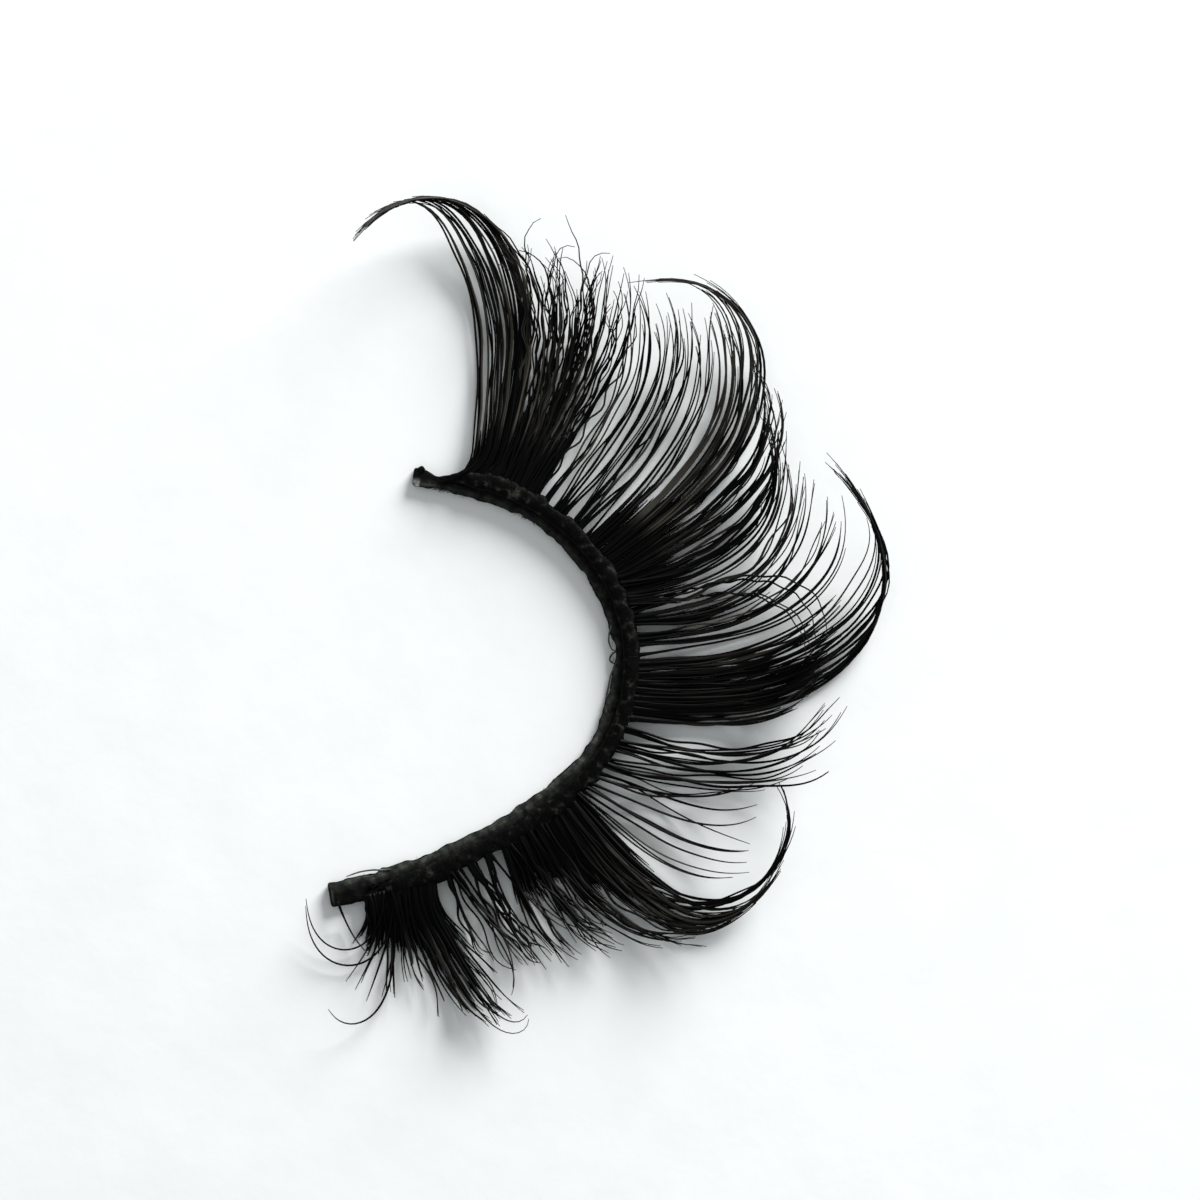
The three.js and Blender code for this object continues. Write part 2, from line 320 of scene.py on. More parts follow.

# Each tuft holds a stretch of the root row, and has a belly, which is the height that its hair dips to, and
# fans of hair. A fan has guides and these values, some of them only where they differ from the usual:
# strands: how many strands are spread over its guides
# hairs: the fewest and the most hairs in a strand
# scatter: how much the leads of the strands differ, in degrees
# cut: the shares of a guide's length that strands are cut to
# pull: how strongly the roots are pulled into bunches
# loose: how loose the strands and their tips are
# short: how many short single hairs fill it near the roots
# short_cut: the shares of a guide's length that the short hairs are cut to
# wave: a scale for the size and the pitch of the strands' sway
# tone: how light its lightest hairs are, in tones that are partly brownish tint and partly painted
# highlight
# join: the shares of a guide's length where the first and the last strand have closed up into one lock
# lock: the guide that they close up along, where it isn't the fan's first guide
# hold: how far they close up
TUFTS = {
    "inner_tuft": dict(
        stretch=(1.8, 4.9),
        belly=0.14,
        fans=(
            dict(
                strands=24, hairs=(1, 3), scatter=5.0, cut=(0.60, 1.0), pull=0.0, loose=1.0, short=340,
                short_cut=(0.30, 0.58), tone=0.9,
                guides=(
                    (1.6, 40, 2.2, -30, -16, 0.60, 4.3, 0.5),
                    (2.3, 20, 2.4, -18, -5, 0.60, 5.0, 0.6),
                    (3.2, 0, 2.4, -2, 10, 0.60, 6.4, 0.7),
                    (4.1, -22, 2.6, 6, 22, 0.70, 7.2, 0.8),
                    (5.0, -42, 3.0, 12, 12, 0.78, 7.8, 0.8),
                ),
            ),
            dict(
                strands=26, hairs=(1, 3), scatter=2.0, cut=(0.80, 1.0), pull=0.0, loose=0.6, short=0,
                guides=(
                    (3.6, -8, 2.4, -1, 34, 0.70, 7.2, 0.8),
                    (4.1, -18, 2.6, 4, 36, 0.82, 8.0, 0.9),
                    (4.6, -30, 2.8, 9, 28, 0.86, 8.3, 0.9),
                    (5.0, -40, 3.0, 12, 12, 0.84, 8.0, 0.9),
                ),
            ),
        ),
    ),
    "inner_filler": dict(
        stretch=(5.0, 8.0),
        belly=0.14,
        fans=(
            dict(
                strands=24, hairs=(1, 2), scatter=11.0, cut=(0.75, 1.0), pull=0.6, loose=1.7, short=0,
                wave=0.55,
                guides=(
                    (5.2, 0, 1.0, 6, 25, 0.70, 5.6, 0.8),
                    (6.6, 0, 1.0, 2, 25, 0.70, 7.0, 1.0),
                    (7.8, 0, 1.0, -4, 30, 0.60, 6.6, 1.0),
                ),
            ),
        ),
    ),
    "lower_brush": dict(
        stretch=(8.1, 10.25),
        belly=0.14,
        fans=(
            dict(
                strands=34, hairs=(1, 2), scatter=7.0, cut=(0.7, 1.0), pull=0.35, loose=1.5, short=130,
                short_cut=(0.18, 0.46), wave=0.55,
                guides=(
                    (8.2, 0, 1.0, -6, 34, 0.70, 7.6, 1.0),
                    (9.2, 0, 1.0, -4, 38, 0.72, 7.8, 1.1),
                    (10.2, 0, 1.0, 2, 40, 0.80, 7.0, 1.1),
                ),
            ),
        ),
    ),
    "lower_spike": dict(
        stretch=(10.35, 13.3),
        belly=0.14,
        fans=(
            dict(
                strands=14, hairs=(1, 3), scatter=1.4, cut=(0.80, 1.0), pull=0.1, loose=0.8, short=130,
                short_cut=(0.16, 0.46), wave=0.7,
                guides=(
                    (10.0, 0, 1.0, -6, 58, 0.60, 9.8, 1.8),
                    (10.6, 0, 1.0, -6, 64, 0.62, 10.8, 2.0),
                    (11.2, 0, 1.0, -4, 76, 0.66, 11.4, 2.2),
                ),
            ),
            dict(
                strands=20, hairs=(1, 3), scatter=0.9, cut=(0.55, 0.76), pull=0.1, loose=0.6, short=130,
                short_cut=(0.12, 0.34),
                join=(0.80, 0.72), lock=(11.9, 0, 1.0, -0.5, 170, 0.595, 17.8, 6.6),
                guides=(
                    (11.25, 0, 1.0, -4, 178, 0.655, 18.0, 5.0),
                    (11.8, 0, 1.0, -2, 172, 0.69, 17.6, 5.0),
                    (12.4, 0, 1.0, 1, 160, 0.74, 17.0, 5.0),
                ),
            ),
            dict(
                strands=9, hairs=(1, 3), scatter=0.3, cut=(0.72, 0.95), pull=0.1, loose=0.5, short=0,
                join=(0.54, 0.68),
                guides=(
                    (11.9, 0, 1.0, -0.5, 170, 0.595, 17.8, 6.6),
                    (11.5, 0, 1.0, -3, 176, 0.65, 18.0, 5.4),
                    (12.4, 0, 1.0, 1, 166, 0.66, 17.6, 5.0),
                ),
            ),
            dict(
                strands=7, hairs=(1, 1), scatter=1.2, cut=(0.90, 1.0), pull=0.2, loose=0.4, short=0,
                guides=(
                    (12.4, 0, 1.0, 0, 54, 0.66, 9.8, 2.8),
                    (12.6, 0, 1.0, 5, 50, 0.66, 9.6, 2.6),
                    (12.75, 0, 1.0, 12, 46, 0.75, 9.4, 2.6),
                    (12.9, 0, 1.0, 16, 45, 0.80, 9.2, 2.4),
                    (13.1, 0, 1.0, 22, 65, 0.80, 9.0, 2.4),
                ),
            ),
        ),
    ),
    "lower_filler": dict(
        stretch=(13.4, 16.0),
        belly=0.22,
        fans=(
            dict(
                strands=20, hairs=(1, 2), scatter=2.5, cut=(0.85, 1.0), pull=0.5, loose=0.6, short=0,
                guides=(
                    (13.6, 0, 1.0, 12, 50, 0.50, 7.3, 1.6),
                    (14.1, -14, 3.5, 34, 48, 0.86, 11.4, 3.0),
                    (14.8, 0, 1.0, 14, 70, 0.66, 11.4, 3.0),
                    (15.4, 0, 1.0, 15, 74, 0.71, 12.1, 3.2),
                    (15.9, 0, 1.0, 8, 76, 0.67, 11.9, 3.2),
                ),
            ),
        ),
    ),
    "middle_spike": dict(
        stretch=(16.1, 19.15),
        belly=0.16,
        fans=(
            dict(
                strands=40, hairs=(3, 5), scatter=1.0, cut=(0.82, 1.0), pull=0.1, loose=0.6, short=80,
                guides=(
                    (16.35, 0, 1.0, 13, 40, 0.74, 8.4, 2.6),
                    (17.2, 0, 1.0, 9, 46, 0.68, 10.4, 3.2),
                    (18.0, 0, 1.0, 6, 46, 0.68, 11.0, 3.2),
                    (19.0, 0, 1.0, 3, 50, 0.68, 10.6, 3.2),
                ),
            ),
            dict(
                strands=22, hairs=(1, 3), scatter=0.4, cut=(0.76, 0.99), pull=0.1, loose=0.5, short=0,
                join=(0.62, 0.97), hold=0.87,
                guides=(
                    (16.8, 0, 1.0, 12, 142, 0.583, 22.4, 7.0),
                    (17.2, 0, 1.0, 10, 141, 0.60, 22.0, 7.0),
                    (18.0, 0, 1.0, 6, 146, 0.64, 21.2, 6.2),
                    (18.85, 0, 1.0, 3, 122, 0.63, 18.4, 5.4),
                ),
            ),
        ),
    ),
    "middle_filler": dict(
        stretch=(19.25, 21.2),
        belly=0.22,
        fans=(
            dict(
                strands=10, hairs=(1, 2), scatter=0.8, cut=(0.80, 1.0), pull=0.4, loose=0.5, short=0,
                guides=(
                    (19.35, 0, 1.0, 2, 112, 0.69, 15.2, 4.0),
                    (19.55, 0, 1.0, 1, 104, 0.68, 14.6, 3.8),
                    (19.8, 0, 1.0, -1, 80, 0.64, 13.0, 3.4),
                    (20.1, 0, 1.0, -5, 82, 0.62, 13.4, 3.4),
                    (20.3, 0, 1.0, -6, 74, 0.60, 12.0, 3.2),
                ),
            ),
            dict(
                strands=9, hairs=(1, 2), scatter=1.0, cut=(0.84, 1.0), pull=0.4, loose=0.8, short=8,
                guides=(
                    (20.45, 0, 1.0, -7, 87, 0.59, 12.7, 3.6),
                    (21.2, -2, 1.5, -10, 90, 0.58, 12.7, 3.8),
                ),
            ),
        ),
    ),
    "upper_spike": dict(
        stretch=(21.3, 24.5),
        belly=0.16,
        fans=(
            dict(
                strands=10, hairs=(1, 3), scatter=1.0, cut=(0.84, 1.0), pull=0.4, loose=0.8, short=24,
                short_cut=(0.10, 0.26),
                guides=(
                    (21.35, -3, 2.0, -11, 92, 0.58, 12.8, 3.9),
                    (22.0, -5, 2.0, -13, 93, 0.59, 12.9, 4.0),
                    (22.6, -6, 2.0, -12, 94, 0.61, 13.2, 4.2),
                ),
            ),
            dict(
                strands=20, hairs=(1, 2), scatter=1.6, cut=(0.62, 1.0), pull=0.2, loose=1.2, short=50,
                short_cut=(0.12, 0.32), wave=0.7,
                guides=(
                    (22.3, -6, 2.0, -12, 92, 0.61, 13.0, 4.0),
                    (22.75, -8, 2.0, -6, 88, 0.68, 13.4, 4.2),
                    (23.2, 0, 1.0, 1, 88, 0.74, 13.6, 4.4),
                ),
            ),
            dict(
                strands=24, hairs=(1, 3), scatter=0.9, cut=(0.80, 1.0), pull=0.2, loose=0.8, short=80,
                short_cut=(0.10, 0.32),
                guides=(
                    (22.75, -8, 2.0, -6, 86, 0.70, 13.6, 4.3),
                    (23.2, 0, 1.0, 2, 88, 0.75, 13.6, 4.4),
                    (23.8, 0, 1.0, 1, 80, 0.68, 14.5, 4.8),
                    (24.4, 0, 1.0, 1, 60, 0.60, 13.8, 4.4),
                    (24.9, 0, 1.0, 0, 60, 0.62, 13.6, 4.0),
                ),
            ),
            dict(
                strands=14, hairs=(1, 4), scatter=0.4, cut=(0.74, 1.0), pull=0.15, loose=0.4, short=0,
                join=(0.74, 0.97),
                guides=(
                    (23.2, 0, 1.0, 2, 157, 0.655, 21.3, 6.4),
                    (23.7, 0, 1.0, 1, 153, 0.66, 20.0, 6.6),
                    (24.1, 0, 1.0, 1, 128, 0.66, 17.8, 5.6),
                ),
            ),
        ),
    ),
    "upper_filler": dict(
        stretch=(24.6, 27.65),
        belly=0.22,
        fans=(
            dict(
                strands=22, hairs=(1, 2), scatter=1.6, cut=(0.80, 1.0), pull=0.45, loose=0.9, short=0,
                guides=(
                    (25.1, 0, 1.0, 0, 60, 0.62, 13.6, 3.6),
                    (25.6, 0, 1.0, 0, 64, 0.667, 13.3, 3.4),
                    (26.2, 0, 1.0, -3, 66, 0.70, 12.6, 3.2),
                    (27.0, 0, 1.0, -5, 62, 0.72, 11.9, 3.2),
                    (27.5, 0, 1.0, -4, 62, 0.72, 11.6, 3.2),
                ),
            ),
        ),
    ),
    "outer_spike": dict(
        stretch=(27.75, 32.1),
        belly=0.16,
        fans=(
            dict(
                strands=54, hairs=(1, 2), scatter=2.0, cut=(0.80, 1.0), pull=0.2, loose=2.0, short=90,
                short_cut=(0.12, 0.36), wave=0.4,
                guides=(
                    (27.9, 0, 1.0, -8, 58, 0.80, 12.3, 2.8),
                    (28.5, 0, 1.0, -5, 34, 0.70, 12.2, 2.8),
                    (28.8, 0, 1.0, -4.5, 34, 0.61, 12.2, 2.8),
                    (29.1, 0, 1.0, -4, 33, 0.52, 12.2, 2.8),
                    (30.0, -16, 1.8, -1, 56, 0.68, 13.3, 3.2),
                ),
            ),
            dict(
                strands=26, hairs=(1, 3), scatter=0.5, cut=(0.78, 0.97), pull=0.0, loose=0.4, short=0,
                join=(0.72, 0.96), hold=0.96,
                guides=(
                    (30.0, -20, 2.0, -2.6, 168, 0.667, 21.4, 6.6),
                    (30.25, -26, 2.1, -2, 163, 0.67, 21.1, 6.6),
                    (30.6, -34, 2.2, -1, 156, 0.675, 20.8, 6.4),
                    (31.2, -50, 2.4, 0, 142, 0.70, 19.7, 6.0),
                    (32.4, -82, 2.5, 2.8, 114, 0.74, 18.8, 5.4),
                ),
            ),
            dict(
                strands=18, hairs=(2, 4), scatter=0.8, cut=(0.4, 0.7), pull=0.0, loose=0.1, short=60,
                tone=0.75,
                guides=(
                    (29.6, -20, 2.0, -6, 10, 0.60, 5.5, 0.4),
                    (31.0, -50, 2.4, -6, 10, 0.60, 6.0, 0.4),
                    (32.2, -80, 2.5, -2, 10, 0.60, 5.4, 0.4),
                ),
            ),
        ),
    ),
}

# Single hairs that stray from the tufts, one guide for each
STRAYS = {
    "inner_tuft": (
        (3.0, 0, 1.0, -15, -150, 0.80, 8.6, 1.2),
        (2.9, 0, 1.0, -14, -180, 0.54, 8.5, 1.2),
        (2.5, 0, 1.0, -18, -172, 0.52, 7.0, 1.0),
        (0.35, 0, 1.0, 9, 25, 0.60, 2.9, 0.6),
        (1.9, 60, 2.4, -42, -8, 0.60, 4.6, 0.6),
        (2.1, 56, 2.4, -38, -4, 0.60, 4.9, 0.6),
        (2.4, 48, 2.4, -32, -4, 0.60, 5.4, 0.6),
        (2.7, 40, 2.4, -26, -6, 0.60, 5.2, 0.6),
        (4.2, -18, 2.6, 5, 150, 0.90, 9.9, 1.6),
        (4.5, -28, 2.8, 9, 120, 0.92, 9.0, 1.4),
    ),
    "inner_filler": (
        (5.6, 0, 1.0, 14, -55, 0.86, 6.8, 1.8),
        (6.1, 0, 1.0, 10, -40, 0.80, 6.4, 1.8),
    ),
    "lower_filler": (
        (13.7, 20, 3.0, 3, 18, 0.60, 8.0, 2.0),
        (13.65, 8, 3.0, 16, 42, 0.78, 7.9, 2.0),
    ),
    "middle_filler": (
        (21.2, 0, 1.0, -2, -96, 0.73, 10.0, 2.6),
        (21.1, 0, 1.0, 0, -104, 0.74, 10.4, 2.8),
        (21.2, 0, 1.0, 4, -112, 0.75, 10.8, 3.0),
        (21.0, 0, 1.0, 8, -120, 0.77, 11.4, 3.0),
    ),
    "outer_spike": (
        (28.1, -32, 11.0, 26, 120, 0.94, 12.7, 3.0),
        (28.6, -30, 11.0, 25, -110, 0.95, 12.4, 2.8),
        (28.9, -32, 11.0, 28, 130, 0.94, 12.6, 3.0),
        (29.2, -32, 11.0, 28, -120, 0.95, 12.2, 2.8),
        (29.5, -40, 11.0, 30, 120, 0.94, 12.8, 3.0),
        (29.8, -46, 11.0, 34, -100, 0.95, 13.0, 3.0),
        (28.6, 0, 1.0, 3, 50, 0.80, 13.4, 4.2),
        (28.9, 0, 1.0, 2, 60, 0.82, 12.2, 4.0),
        (29.4, -6, 1.0, 2, 70, 0.72, 13.6, 4.4),
    ),
}

# Tufts whose stray hairs are kinked
KINKED = ("middle_filler", "outer_spike")


def smooth(low, high, value):
    """Goes smoothly from 0 at low to 1 at high."""
    share = np.clip((value - low) / (high - low), 0.0, 1.0)
    return share * share * (3.0 - 2.0 * share)


def band_at(along):
    """Place and heading, in radians, of the band's middle line at distances along it."""
    along = np.asarray(along, dtype=float)
    x = np.full(along.shape, BAND_START[0])
    y = np.full(along.shape, BAND_START[1])
    heading = np.full(along.shape, math.radians(BAND_HEADING))
    left = along.copy()
    for length, turn in zip(BAND_ARC_LENGTHS, BAND_ARC_TURNS):
        run = np.clip(left, 0.0, length)
        swing = math.radians(turn) * run / length
        radius = length / math.radians(turn)
        x = x + radius * (np.sin(heading + swing) - np.sin(heading))
        y = y + radius * (np.cos(heading) - np.cos(heading + swing))
        heading = heading + swing
        left = left - run
    return x, y, heading


def beside_band(along, outward, height):
    """Points beside the band: outward is to the right of its heading."""
    x, y, heading = band_at(along)
    points = (x + outward * np.sin(heading), y - outward * np.cos(heading), height + 0.0 * x)
    return np.stack(np.broadcast_arrays(*points), axis=-1)


def band_width(along):
    """The band's width at distances along it."""
    return np.interp(along, BAND_WIDTH_PLACES, BAND_WIDTHS)


def lumps(along, seed, pitch, around=0.0, columns=1):
    """Smooth seeded noise between -1 and 1 along the band, and around it by shares of a turn."""
    rng = np.random.default_rng(seed)
    values = rng.uniform(-1.0, 1.0, (int(BAND_LENGTH / pitch) + 3, columns))
    row, row_share = np.divmod(np.asarray(along) / pitch, 1.0)
    column, column_share = np.divmod(np.asarray(around) * columns, 1.0)
    row = row.astype(int)
    column = column.astype(int)
    beside = (column + 1) % columns
    row_share = smooth(0.0, 1.0, row_share)
    column_share = smooth(0.0, 1.0, column_share)
    before = values[row, column] * (1.0 - column_share) + values[row, beside] * column_share
    after = values[row + 1, column] * (1.0 - column_share) + values[row + 1, beside] * column_share
    return before * (1.0 - row_share) + after * row_share


def hump(along, place, length):
    """A smooth hump of height 1 at a place along the band."""
    return np.exp(-(((along - place) / length) ** 2))


def drawn_in(along):
    """How far the neck by the band's outer end draws the outer edge in."""
    return NECK_DEPTH * hump(along, NECK_PLACE, NECK_LENGTH)


def rounded_square(angles, squareness):
    """Points across and up on a circle at squareness 1, and nearer to a square the lower it is."""
    across = np.sign(np.cos(angles)) * np.abs(np.cos(angles)) ** squareness
    upward = np.sign(np.sin(angles)) * np.abs(np.sin(angles)) ** squareness
    return across, upward


def guide_values(guides, shares):
    """Blends the guides at shares of the way from the first to the last."""
    table = np.array(guides, dtype=float)
    places = shares * (len(table) - 1)
    rows = np.arange(len(table))
    return {name: np.interp(places, rows, table[:, i]) for i, name in enumerate(GUIDE_COLUMNS)}


def fan_hairs(fan, rng):
    """Values of a fan's hairs: strands of a few hairs each, then its short single hairs."""
    count = fan["strands"]
    loose = fan["loose"]
    wave = fan.get("wave", 1.0)
    short_cut = fan.get("short_cut", SHORT_CUT)
    jitter = rng.uniform(-STRAND_JITTER, STRAND_JITTER, count)
    shares = np.concatenate([(np.arange(count) + 0.5 + jitter) / count, rng.random(fan["short"])])
    count = len(shares)
    short = np.arange(count) >= fan["strands"]
    sizes = np.where(short, 1, rng.integers(fan["hairs"][0], fan["hairs"][1] + 1, count))
    strand = guide_values(fan["guides"], shares)
    strand["lead"] += rng.normal(0.0, fan["scatter"], count)
    strand["turn"] *= rng.normal(1.0, TURN_SPREAD * loose, count)
    strand["cut"] = np.where(short, rng.uniform(*short_cut, count), rng.uniform(*fan["cut"], count))
    strand["tone"] = np.where(short, 0.0, fan.get("tone", 1.0) * rng.random(count))
    strand["stack"] = np.where(short, 0.0, rng.uniform(0.0, STACK_DEPTH, count))
    strand["sway"] = np.where(short, 0.0, rng.normal(0.0, SWAY * loose * wave, count))
    strand["sway_pitch"] = wave * rng.uniform(*SWAY_PITCH, count)
    strand["sway_start"] = rng.random(count)
    strand["wisp"] = np.where(short, 0.0, rng.normal(0.0, WISP_TURN * loose, count))
    strand["place"] = shares
    strand["thickness"] = np.where(short, SHORT_HAIR, np.where(sizes == 1, SINGLE_HAIR, 1.0))
    hair = {name: np.repeat(values, sizes) for name, values in strand.items()}
    total = sizes.sum()
    hair["cut"] *= rng.uniform(*HAIR_CUT, total)
    hair["rise"] *= rng.normal(1.0, RISE_SPREAD, total)
    hair["wisp"] += rng.normal(0.0, WISP_TURN * WISP_SPREAD * loose, total)
    hair["aside"] = rng.uniform(-STRAND_SPREAD, STRAND_SPREAD, total)
    hair["stray"] = rng.normal(0.0, TIP_STRAY * loose, total)
    hair["pull"] = np.full(total, fan["pull"])
    return hair


def stray_hairs(guides, rng):
    """Values of single hairs, one for each guide."""
    count = len(guides)
    hair = guide_values(guides, np.linspace(0.0, 1.0, count))
    for name in ("wisp", "pull", "aside", "stray"):
        hair[name] = np.zeros(count)
    hair["cut"] = np.ones(count)
    hair["tone"] = rng.random(count)
    hair["stack"] = rng.uniform(0.0, STACK_DEPTH, count)
    hair["thickness"] = np.full(count, SINGLE_HAIR)
    hair["sway"] = np.full(count, KINK)
    hair["sway_pitch"] = rng.uniform(*KINK_PITCH, count)
    hair["sway_start"] = rng.random(count)
    return hair


def hair_lines(hair, belly):
    """Middle lines of hairs, of shape (hairs, points, 3)."""
    fine = HAIR_STEPS * HAIR_FINE_STEPS
    along = np.linspace(0.0, 1.0, fine + 1)[None, :]
    value = {name: values[:, None] for name, values in hair.items()}
    share = along * value["cut"]
    distance = share * value["length"]
    odds = value["half"] / (1.0 - value["half"]) * (1.0 / np.maximum(share, LEAST_SHARE) - 1.0)
    angle = value["lead"] - 90.0 + value["turn"] / (1.0 + odds ** TURN_SHARPNESS)
    angle = angle + value["bend"] * (1.0 - smooth(0.0, value["run"], distance))
    angle = angle + value["wisp"] * smooth(WISP_START, 1.0, along)
    _, _, band_heading = band_at(value["root"])
    heading = band_heading + np.radians(angle)
    heading = (heading[:, 1:] + heading[:, :-1]) / 2.0
    step = np.diff(distance, axis=1)
    start = beside_band(hair["root"], ROOT_OFFSET - drawn_in(hair["root"]), 0.0)
    x = start[:, :1] + np.cumsum(np.cos(heading) * step, axis=1)
    y = start[:, 1:2] + np.cumsum(np.sin(heading) * step, axis=1)
    x = np.concatenate([start[:, :1], x], axis=1)
    y = np.concatenate([start[:, 1:2], y], axis=1)

    bunch = np.round(value["root"] / BUNCH_PITCH) * BUNCH_PITCH
    pull = (bunch - value["root"]) * value["pull"] * (1.0 - smooth(0.0, BUNCH_RUN, distance))
    x = x + pull * np.cos(band_heading)
    y = y + pull * np.sin(band_heading)

    dip = smooth(DIP_START, DIP_END_SHARE * value["length"], distance)
    climb = np.maximum(0.0, (share - RISE_START_SHARE) / (1.0 - RISE_START_SHARE))
    root_height = ROOT_HEIGHT + ROOT_LAYERS * (2.0 * value["stack"] / STACK_DEPTH - 1.0)
    low = belly + value["stack"]
    z = root_height * (1.0 - dip) + low * dip + value["rise"] * climb ** RISE_POWER
    return np.stack([x, y, z], axis=-1)[:, ::HAIR_FINE_STEPS]


def close_up(lines, hair, fan, belly):
    """Closes a fan's strands up into one lock, along its lock guide or else its first one."""
    lock = fan.get("lock", fan["guides"][0])
    lead_lines = hair_lines({**hair, **guide_values((lock,), np.zeros(len(lines)))}, belly)
    share = np.linspace(0.0, 1.0, HAIR_STEPS + 1)[None, :] * hair["cut"][:, None]
    start, end = fan["join"]
    joined = (start + (end - start) * hair["place"])[:, None]
    closed = fan.get("hold", LOCK_HOLD) * smooth(joined - JOIN_RUN, joined, share)[:, :, None]
    return lines * (1.0 - closed) + lead_lines * closed


def spread_strands(lines, hair, rng):
    """Sways the strands, and sets the hairs of each beside each other, closing and opening along it."""
    count = len(lines)
    along = np.linspace(0.0, 1.0, HAIR_STEPS + 1)[None, :]
    value = {name: values[:, None] for name, values in hair.items()}
    waves = rng.uniform(*STRAND_WAVES, (count, 1))
    phase = rng.uniform(0.0, 2.0 * math.pi, (count, 1))
    open_share = STRAND_OPENING + (1.0 - STRAND_OPENING) * np.cos(2.0 * math.pi * waves * along + phase)
    open_share = open_share * (1.0 - along ** STRAND_CLOSING_POWER)
    turns = along * value["cut"] * value["length"] / value["sway_pitch"] + value["sway_start"]
    sway = value["sway"] * np.sin(2.0 * math.pi * turns) * smooth(*SWAY_GROWTH, along)
    aside = value["aside"] * open_share + value["stray"] * along ** TIP_STRAY_POWER + sway
    heading = np.gradient(lines, axis=1)
    heading /= np.linalg.norm(heading, axis=2, keepdims=True)
    side = np.cross(heading, (0.0, 0.0, 1.0))
    return lines + side * aside[:, :, None]


def tuft_hairs(name, rng):
    """Middle lines, tones and thicknesses of all the hairs of a tuft."""
    tuft = TUFTS[name]
    groups = []
    for fan in tuft["fans"]:
        hair = fan_hairs(fan, rng)
        lines = hair_lines(hair, tuft["belly"])
        if "join" in fan:
            lines = close_up(lines, hair, fan, tuft["belly"])
        groups.append((spread_strands(lines, hair, rng), hair["tone"], hair["thickness"]))
    if name in STRAYS:
        hair = stray_hairs(STRAYS[name], rng)
        lines = hair_lines(hair, tuft["belly"])
        if name in KINKED:
            lines = spread_strands(lines, hair, rng)
        groups.append((lines, hair["tone"], hair["thickness"]))
    return [np.concatenate(values) for values in zip(*groups)]


def past_row_edge(lines):
    """How far the points of hairs are along them from the outer edge of the root row."""
    steps = np.linalg.norm(np.diff(lines, axis=1), axis=2)
    travelled = np.concatenate([np.zeros((len(lines), 1)), np.cumsum(steps, axis=1)], axis=1)
    return np.maximum(0.0, travelled - (ROW_OUTER - ROOT_OFFSET))


def hair_radii(lines, thickness, rng):
    """Radii along hairs: a flared root, an even shaft and a fine tip."""
    count = len(lines)
    along = np.linspace(0.0, 1.0, HAIR_STEPS + 1)[None, :]
    scale = np.clip(rng.normal(thickness, HAIR_RADIUS_SPREAD), *HAIR_RADIUS_LIMITS)
    shaft = HAIR_RADIUS * scale[:, None]
    flare = ROOT_FLARE * rng.uniform(*ROOT_FLARE_SPREAD, (count, 1))
    flare = flare * np.exp(-past_row_edge(lines) / ROOT_FLARE_RUN)
    return shaft + (HAIR_TIP_RADIUS - shaft) * along ** HAIR_TAPER_POWER + flare


def ring_faces(tubes, points, sides):
    """Faces of closed tubes whose rings are numbered tube by tube, ring by ring."""
    index = np.arange(tubes * points * sides).reshape(tubes, points, sides)
    after = np.roll(index, -1, axis=2)
    walls = np.stack([index[:, :-1], index[:, 1:], after[:, 1:], after[:, :-1]], axis=-1)
    return [walls.reshape(-1, 4), index[:, 0], index[:, -1, ::-1]]


def tube_rings(lines, radii, sides):
    """Rings of points round lines of shape (tubes, points, 3)."""
    along = np.gradient(lines, axis=1)
    along /= np.linalg.norm(along, axis=2, keepdims=True)
    right = np.cross(along, (0.0, 0.0, 1.0))
    right /= np.linalg.norm(right, axis=2, keepdims=True)
    over = np.cross(right, along)
    angles = np.arange(sides) * 2.0 * math.pi / sides
    spokes = (
        np.cos(angles)[:, None] * right[:, :, None, :]
        + np.sin(angles)[:, None] * over[:, :, None, :]
    )
    return lines[:, :, None, :] + radii[:, :, None, None] * spokes


def plan_shift():
    """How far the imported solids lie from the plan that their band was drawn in."""
    along = np.linspace(0.0, BAND_LENGTH, BAND_STEPS)
    half = band_width(along) / 2.0
    edges = np.concatenate([beside_band(along, half, 0.0), beside_band(along, -half, 0.0)])
    low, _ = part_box("band")
    return np.array([low.x / MM - edges[:, 0].min(), low.y / MM - edges[:, 1].min(), 0.0])


SHIFT = plan_shift()


def make_piece(name, points, faces, tones, material):
    """A mesh object from points in millimetres and a list of face arrays, riding on the strip."""
    mesh = bpy.data.meshes.new(name)
    corners = np.concatenate([face.ravel() for face in faces])
    counts = np.concatenate([np.full(len(face), face.shape[1]) for face in faces])
    mesh.vertices.add(len(points))
    mesh.vertices.foreach_set("co", ((points + SHIFT) * MM).ravel())
    mesh.loops.add(len(corners))
    mesh.loops.foreach_set("vertex_index", corners.astype(np.int32))
    mesh.polygons.add(len(counts))
    mesh.polygons.foreach_set("loop_start", (np.cumsum(counts) - counts).astype(np.int32))
    mesh.polygons.foreach_set("use_smooth", np.ones(len(counts), dtype=bool))
    tone_layer = mesh.attributes.new("tone", "FLOAT", "POINT")
    tone_layer.data.foreach_set("value", tones.astype(np.float32))
    mesh.update(calc_edges=True)
    mesh.validate()
    mesh.materials.append(material)
    piece = bpy.data.objects.new(name, mesh)
    bpy.context.collection.objects.link(piece)
    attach(piece, "root")
    return piece


